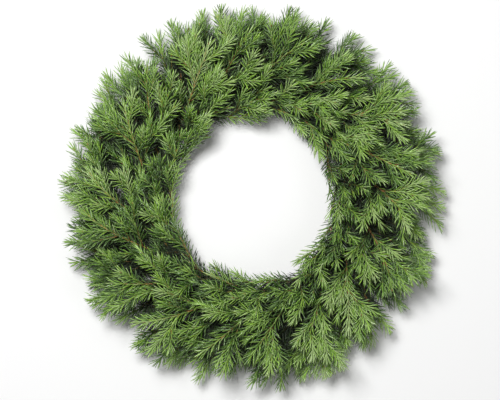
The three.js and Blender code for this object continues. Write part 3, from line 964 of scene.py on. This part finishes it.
# painted shade: the low shoots' needles are made darker
LOW_PAINTED_SHADE = 0.1
WOOD_TONES = (0.3, 0.85)
BUD_SIZES = (0.8, 1.05)
BUD_TONES = (0.3, 0.9)
HOLE_CLEARANCE = 1.0
HOLE_SHARES = (0, 0.5)  # how much of the wave a needle draws back
RIM_WAVES = [(1, 0.4, 3.0), (2, 0.0, 1.5)]  # waves round the rim, their phases and heights
RIM_SHARES = (0.5, 1)
SHORTEST_SHARE = 0.5


def bound_points(spray):
    """The arc of the ring that the cut stem lies along until it comes free."""
    start = spray["station"] * STATION_STEP
    seat = ROWS[spray["row"]]["seat"]
    shares = np.linspace(0, 1, BOUND_STEPS)[:-1]
    return np.array([polar(start + share * BOUND_SPAN, *seat) for share in shares])


def rim_wave(places):
    """How far the rim, not quite round either, draws back at each place."""
    around = np.arctan2(places[..., 1], places[..., 0])
    return sum(height * (1 + np.cos(waves * around - phase)) for waves, phase, height in RIM_WAVES)


def trimmed(root, outward, length, rng):
    """Lengths that end at the wreath's two edges, and which needles are left."""
    tips = root + outward * length[:, None]
    root_level = np.hypot(root[:, 0], root[:, 1])
    tip_level = np.hypot(tips[:, 0], tips[:, 1])
    hole_waves = hole_wave(root) * rng.uniform(*HOLE_SHARES, len(root))
    rim = REACH - rim_wave(root) * rng.uniform(*RIM_SHARES, len(root))
    edge = np.where(tip_level > root_level, rim, HOLE_RADIUS + HOLE_CLEARANCE + hole_waves)
    gained = np.where(tip_level == root_level, 1, tip_level - root_level)
    share = np.clip((edge - root_level) / gained, 0, 1)
    return length * share, (share > SHORTEST_SHARE) & (tips[:, 2] > LOWEST_NEEDLE)


def joined(coats, rng):
    """The needles of several twigs as one set, without those that have no room."""
    root, outward, forward, length, tones = (np.concatenate(column) for column in zip(*coats))
    length, kept = trimmed(root, outward, length, rng)
    return [column[kept] for column in (root, outward, forward, length, tones)]


def grow(spray, rng):
    """The blocks of a spray's wood, its needles in sight, and its plainer low needles."""
    wood, coats, low_coats = [], [], []
    spray_tone = rng.uniform(*SPRAY_TONES) + ROW_TONES[spray["row"]]
    for kind, (sides, steps, (thick, thin), bare, old, per_mm) in TWIG_FORMS.items():
        low = kind == "low_shoots"
        for curve in [spray[kind]] if kind == "leader" else spray[kind]:
            shares = np.linspace(0, 1, steps)
            points = curve.at(shares)
            radii = thick + (thin - thick) * shares
            ages = old + (YOUNG - old) * shares
            if kind == "leader":
                bound = bound_points(spray)
                points = np.concatenate([bound, points])
                radii = np.concatenate([np.linspace(BOUND_RADIUS, thick, len(bound)), radii])
                ages = np.concatenate([np.linspace(BOUND_AGE, old, len(bound)), ages])
            wood.append(tube(points, radii, sides, ages, rng.uniform(*WOOD_TONES)))
            if not low:
                wood.append(bud(curve, rng.uniform(*BUD_SIZES), rng.uniform(*BUD_TONES)))
            shoot_tone = spray_tone + rng.normal(0, SHOOT_SPREAD) - (LOW_PAINTED_SHADE if low else 0)
            needles = coat(curve, bare, (thick, thin), per_mm, shoot_tone, rng)
            (low_coats if low else coats).append(needles)
    return wood, joined(coats, rng), joined(low_coats, rng)


draws = [np.random.default_rng(COAT_SEED + number) for number in range(len(sprays))]
grown = [grow(spray, rng) for spray, rng in zip(sprays, draws)]
print("needles:", sum(len(needles[0]) + len(low[0]) for _, needles, low in grown))

# %% [markdown]
# ## Painted light and shade on the needles
# Needles that open in full light are painted a fresh yellow-green, and those under other twigs are
# painted dark: this is painted light and painted shade in their tone. The lamps alone leave the
# depth too light, because the floor and the sky light it from all round. So the needles over each
# one are counted on a grid of columns cut into layers, and set its painted shade. The same is done
# from below for the back, and painted side light reaches the rim and the hole's edge.

# %% Paint shade on the needles below others
CELL = 7.0
LAYER = 8.0
CELLS = 90
LAYERS = 16
BLURS = 5
DEEP_COVER = 3.2  # needles over a fully shaded place
SHADE = 1.04  # how far the painted shade and painted light move a tone
OPEN_LIGHT = 0.2  # a tone's painted light in the open, as a share of that
BACK_COVER = 0.45  # the shade where only the back's light reaches
SIDE_LIGHT = (225, 60)  # the radius where side light starts, and over how much it grows
HOLE_LIGHT = (140, 30)  # the same for light from the hole
MOST_OPEN = 0.75


def middles(needles):
    root, outward, _, length, _ = needles
    return root + outward * length[:, None] / 2


def grid_places(points):
    across = ((points[:, :2] + CELL * CELLS / 2) / CELL).astype(int)
    across = np.clip(across, 1, CELLS - 2)
    return across[:, 0], across[:, 1], np.clip((points[:, 2] / LAYER).astype(int), 0, LAYERS - 1)


def needles_past(crowd):
    """How shaded each place is by the needles two layers or more above it."""
    cover = np.zeros_like(crowd)
    cover[:, :, :-2] = np.cumsum(crowd[:, :, ::-1], axis=2)[:, :, ::-1][:, :, 2:]
    for axis in (0, 1) * BLURS:
        cover = (np.roll(cover, 1, axis) + 2 * cover + np.roll(cover, -1, axis)) / 4
    return np.minimum(cover / DEEP_COVER, 1)


both_coats = [coats for _, *pair in grown for coats in pair]
crowd = np.zeros((CELLS, CELLS, LAYERS))
for needles in both_coats:
    np.add.at(crowd, grid_places(middles(needles)), 1)
from_above = needles_past(crowd)
from_below = needles_past(crowd[:, :, ::-1])[:, :, ::-1]
cover = np.minimum(from_above, BACK_COVER + (1 - BACK_COVER) * from_below)
for needles in both_coats:
    middle = middles(needles)
    level = np.hypot(middle[:, 0], middle[:, 1])
    past_rim = (level - SIDE_LIGHT[0]) / SIDE_LIGHT[1]
    past_hole = (HOLE_LIGHT[0] - level) / HOLE_LIGHT[1]
    open_side = np.clip(np.maximum(past_rim, past_hole), 0, MOST_OPEN)
    # painted light in the open and painted shade under cover, set in the tone
    lit = OPEN_LIGHT - cover[grid_places(middle)] * (1 - open_side)
    needles[4] = np.clip(needles[4] + SHADE * lit, *TONE_LIMITS)
print("share of the wreath in deep shade:", round(float(cover[crowd > 0].mean()), 2))

# %% [markdown]
# ## The sprays' pieces
# With the tones settled, the needles and the wood of each spray can become meshes. It could be
# done while they grow, but no needle's shade is known before the last spray is laid.

# %% Make the pieces of every spray
PEG_EVERY = 3
PEG_TONES = (0.3, 0.9)
triangle_total = 0
for spray, rng, (wood, needles, low_needles) in zip(sprays, draws, grown):
    root, outward = needles[0][::PEG_EVERY], needles[1][::PEG_EVERY]
    wood.append(pegs(root, outward, rng.uniform(*PEG_TONES, len(root))))
    shapes = [
        needle_shapes(*needles, NEEDLE_RINGS, rng),
        needle_shapes(*low_needles, PLAIN_RINGS, rng),
    ]
    for word, map_name, blocks, material in (
        ("needles", "needle_map", shapes, needle_material),
        ("twigs", "bark_map", wood, bark_material),
    ):
        mesh = make_mesh(spray["name"].replace("spray", word), map_name, blocks)
        add_piece(mesh, material, spray["name"])
        triangle_total += triangles_in(mesh)
print("triangles in the sprays:", triangle_total)

# %% [markdown]
# ## The wire ring
# The ring is stout steel wire with a dark green lacquer, its ends butted and welded. It could be a
# curve with a bevel, but a torus is its exact form, so the fine piece is a rounder torus on the
# same circle as its CAD node. A soft cloud of noise makes the lacquer a little worn and uneven.

# %% Make the ring
WORN_GREY = (0.16, 0.17, 0.15)
bpy.ops.mesh.primitive_torus_add(
    major_radius=RING_RADIUS * MM,
    minor_radius=RING_HALF_HEIGHT * MM,
    major_segments=144,
    minor_segments=14,
    location=(0, 0, (RING_BOTTOM + RING_HALF_HEIGHT) * MM),
)
ring = bpy.context.object
ring.name = "fine_ring"
bpy.ops.object.transform_apply(location=True)
bpy.ops.object.shade_smooth()


def lacquer(name, colour, scale):
    """Green lacquer, a little worn and uneven in its shine."""
    finish = Finish(name)
    place = finish.node("ShaderNodeTexCoord", output=3)
    grain = {"Vector": place, "Scale": scale, "Detail": 3.0}
    cloud = finish.node("ShaderNodeTexNoise", inputs=grain)
    worn = cloud.rise(0.62, 0.75)
    tint = finish.mix(worn * 0.5, colour, WORN_GREY)
    shine = 0.35 + 0.25 * cloud
    return finish.set(Base_Color=tint, Roughness=shine, Metallic=0.0, Coat_Weight=0.3)


ring.data.materials.append(lacquer("ring_lacquer", (0.018, 0.06, 0.03), 240.0))
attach(ring, "root")
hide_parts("ring")
print("ring made")

# %% [markdown]
# ## The binding wire
# Thin lacquered wire winds round ring and stems, two turns to a bunch, each turn pulled tight over
# the stems and flat under the ring. A round coil would stand off from the stems, so its way has
# five bends to a turn, and a smooth spline through them gives the wire its pulled look.

# %% Wind the binding wire
HALF_WIRE = BINDING_WIRE / 2
WIRE_FOOT = RING_WIRE / 2 + GAP
WIRE_SIDE = SIDE_SEAT + STEM_HALF_WIDTH + WIRE_SLACK + HALF_WIRE
SHOULDER = LOW_SEAT - BUTT_RADIUS / 2
BENDS = [
    (-WIRE_FOOT, HALF_WIRE),
    (-WIRE_SIDE, SHOULDER),
    (0.0, HIGH_SEAT + BUTT_RADIUS + WIRE_SLACK + HALF_WIRE),
    (WIRE_SIDE, SHOULDER),
    (WIRE_FOOT, HALF_WIRE),
]  # how far out from the ring's middle, and how high
TOP_BEND = 0.4  # the third bend's share of a turn
BENDS_LEFT_OUT = 2  # the last turn ends early, so the wire's two ends lie apart
BEND_STEPS = 5
WIRE_PULL = 0.25
WIRE_SIDES = 6


def between(p0, p1, p2, p3, share):
    """A place from the second of four points to the third, on a smooth spline through them."""
    m1, m2 = (p2 - p0) * WIRE_PULL, (p3 - p1) * WIRE_PULL
    return (
        (2 * share**3 - 3 * share**2 + 1) * p1
        + (share**3 - 2 * share**2 + share) * m1
        + (3 * share**2 - 2 * share**3) * p2
        + (share**3 - share**2) * m2
    )


def wire_path():
    """Points along the whole wire, rounded between its bends."""
    count = STATIONS * TURNS_PER_STATION * len(BENDS) - BENDS_LEFT_OUT
    pitch = STATION_STEP / TURNS_PER_STATION
    places = np.array([
        (FIRST_TURN + (index / len(BENDS) - TOP_BEND) * pitch, *BENDS[index % len(BENDS)])
        for index in range(count)
    ])
    padded = np.concatenate([places[:1], places, places[-1:]])
    path = [
        between(*padded[index : index + 4], share)
        for index in range(count - 1)
        for share in np.arange(BEND_STEPS) / BEND_STEPS
    ]
    path.append(places[-1])
    return np.array([
        polar(advance, RING_RADIUS + out, max(height, HALF_WIRE)) for advance, out, height in path
    ])


def swept(points, radius, sides):
    """A tube whose frame turns with the path and never flips."""
    forward = unit(np.gradient(points, axis=0))
    upward = np.zeros_like(points)
    upward[0] = upright(forward[0])
    for index in range(1, len(points)):
        carried = upward[index - 1]
        upward[index] = unit(carried - forward[index] * (carried @ forward[index]))
    around = circles(upward, np.cross(forward, upward), sides)
    skin = (points[:, None, :] + around * radius).reshape(-1, 3)
    skin[:, 2] = np.maximum(skin[:, 2], 0)
    last = (len(points) - 1) * sides
    ends = [tuple(reversed(range(sides))), tuple(range(last, last + sides))]
    mesh = bpy.data.meshes.new("fine_binding_wire")
    mesh.from_pydata((skin * MM).tolist(), [], side_faces(len(points), sides) + ends)
    mesh.update()
    return mesh


wire_mesh = swept(wire_path(), HALF_WIRE, WIRE_SIDES)
for polygon in wire_mesh.polygons:
    polygon.use_smooth = True
binding_lacquer = lacquer("binding_lacquer", (0.035, 0.095, 0.035), 300.0)
add_piece(wire_mesh, binding_lacquer, "binding_wire")
print("wire triangles:", triangles_in(wire_mesh))
